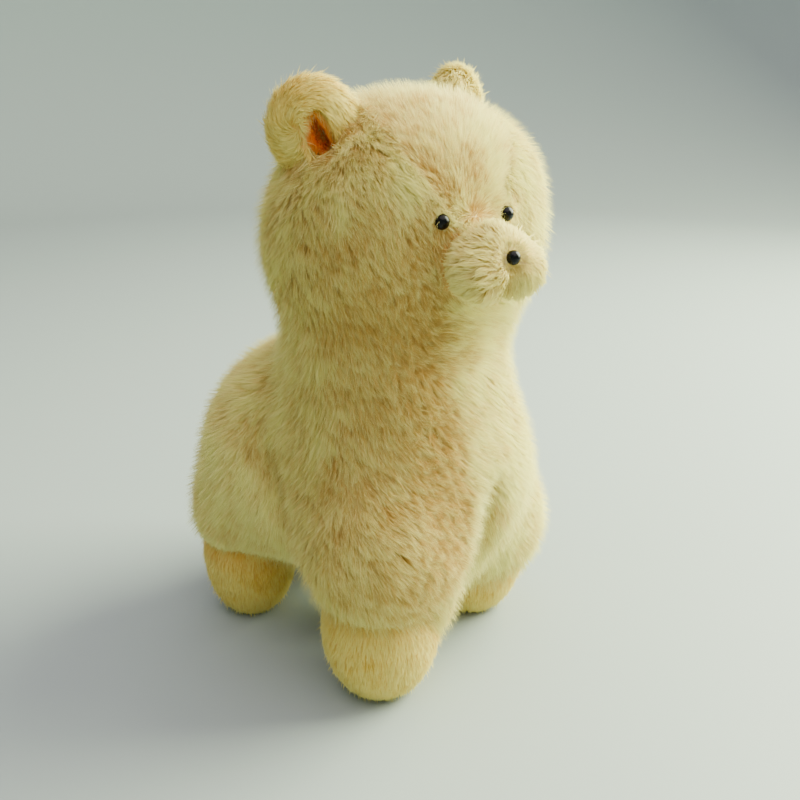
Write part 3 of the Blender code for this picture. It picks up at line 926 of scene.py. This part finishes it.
MUZZLE_DEPTH = 1.6 * MM
MUZZLE_VOXEL = 0.9 * MM
GROOVE = 2.6 * MM            # the seam between the puffs, below the nose
GROOVE_WIDTH = 2.4 * MM
DIMPLE = 1.4 * MM            # where the nose is drawn in by its thread
FIRM_AT_NOSE = 1.5           # how much more firmly the pile lies beside the nose
PARTED_AT_GROOVE = 0.8       # how far it turns away from the groove
SHORTEST = 0.4               # beside the nose, against the full length
MUZZLE_EDGE_SHADE = 0.3            # painted orange shade where it meets the face on the right
MUZZLE_TAN = 0.1

item, points, normals = skin_of("muzzle_skin", ["muzzle", "nose"], MUZZLE_VOXEL, MUZZLE_DEPTH,
                                rounds=5)
item.data.materials.append(backing)
away = points - middle("nose")
beside = away @ HEAD_LEFT
from_nose = np.linalg.norm(away, axis=1)
groove = np.exp(-(beside / GROOVE_WIDTH) ** 2) * ramp(away[:, 2], -1.5 * MM, -4 * MM)
drawn_in = GROOVE * groove + DIMPLE * ramp(from_nose, 6.5 * MM, 3.5 * MM)
points, normals = move(item, points - normals * drawn_in[:, None])
to_face = depth_outside("head", points)
lie = tangent(away, normals) * (1 + FIRM_AT_NOSE * ramp(from_nose, 8 * MM, 4 * MM))[:, None]
lie += HEAD_LEFT * (PARTED_AT_GROOVE * np.sign(beside) * groove)[:, None]
ready(item, lie=lie, cover=ramp(to_face, -2 * MM, 0.5 * MM) * ramp(from_nose, 2.3 * MM, 2.9 * MM),
      long_pile=SHORTEST + (1 - SHORTEST) * ramp(from_nose, 3.5 * MM, 12 * MM),
      orange_shade=MUZZLE_EDGE_SHADE * ramp(to_face, 4 * MM, 0.5 * MM) * ramp(beside, 0.0, -8 * MM),
      tan=MUZZLE_TAN)
grow("coat_muzzle", item, pale_and_lit_ear_plush, "short_plush", Seed=40, Rows=5, Density=3.6e6,
     Length=5.8 * MM, Width=0.46 * MM, Lift=0.24, Arch=0.10, Wave=0.10, Clump=2.2 * MM,
     Gather=0.24, Ruffle=0.75, Wander=1.4, Stray=0.03, Soft=0.6)
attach(item, "root")
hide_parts("muzzle")


# --- Eyes and nose ------------------------------------------------------------------------
# Round black acrylic beads, sewn on with thread that passes through the head: the eyes are
# pulled tight enough to sink a little into the pile.

SUNK = 0.9 * MM              # the thread pulls the eyes this much deeper than the nose
BEAD_SEGMENTS = 32
BEAD_RINGS = 20

# Black acrylic, moulded and tumbled: a deep black under a clear glossy surface.
acrylic = new_material("moulded black acrylic", Base_Color=linear("#020203"), Roughness=0.25,
                       IOR=1.49, Specular_IOR_Level=0.22)[0]

for node in EYES + ["nose"]:
    low, high = (Vector(corner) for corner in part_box(node))
    sunk = Vector(HEAD_FRONT) * (-SUNK if node in EYES else 0.0)
    place = (Matrix.Translation((low + high) / 2 + sunk)
             @ Matrix.Diagonal((*((high - low) / 2), 1.0)))
    form = bmesh.new()
    bmesh.ops.create_uvsphere(form, u_segments=BEAD_SEGMENTS, v_segments=BEAD_RINGS, radius=1.0,
                              matrix=place)
    mesh = bpy.data.meshes.new(node + "_bead")
    form.to_mesh(mesh)
    form.free()
    mesh.shade_smooth()
    bead = show(node + "_bead", mesh, acrylic)
    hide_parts(node)
    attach(bead, "root")
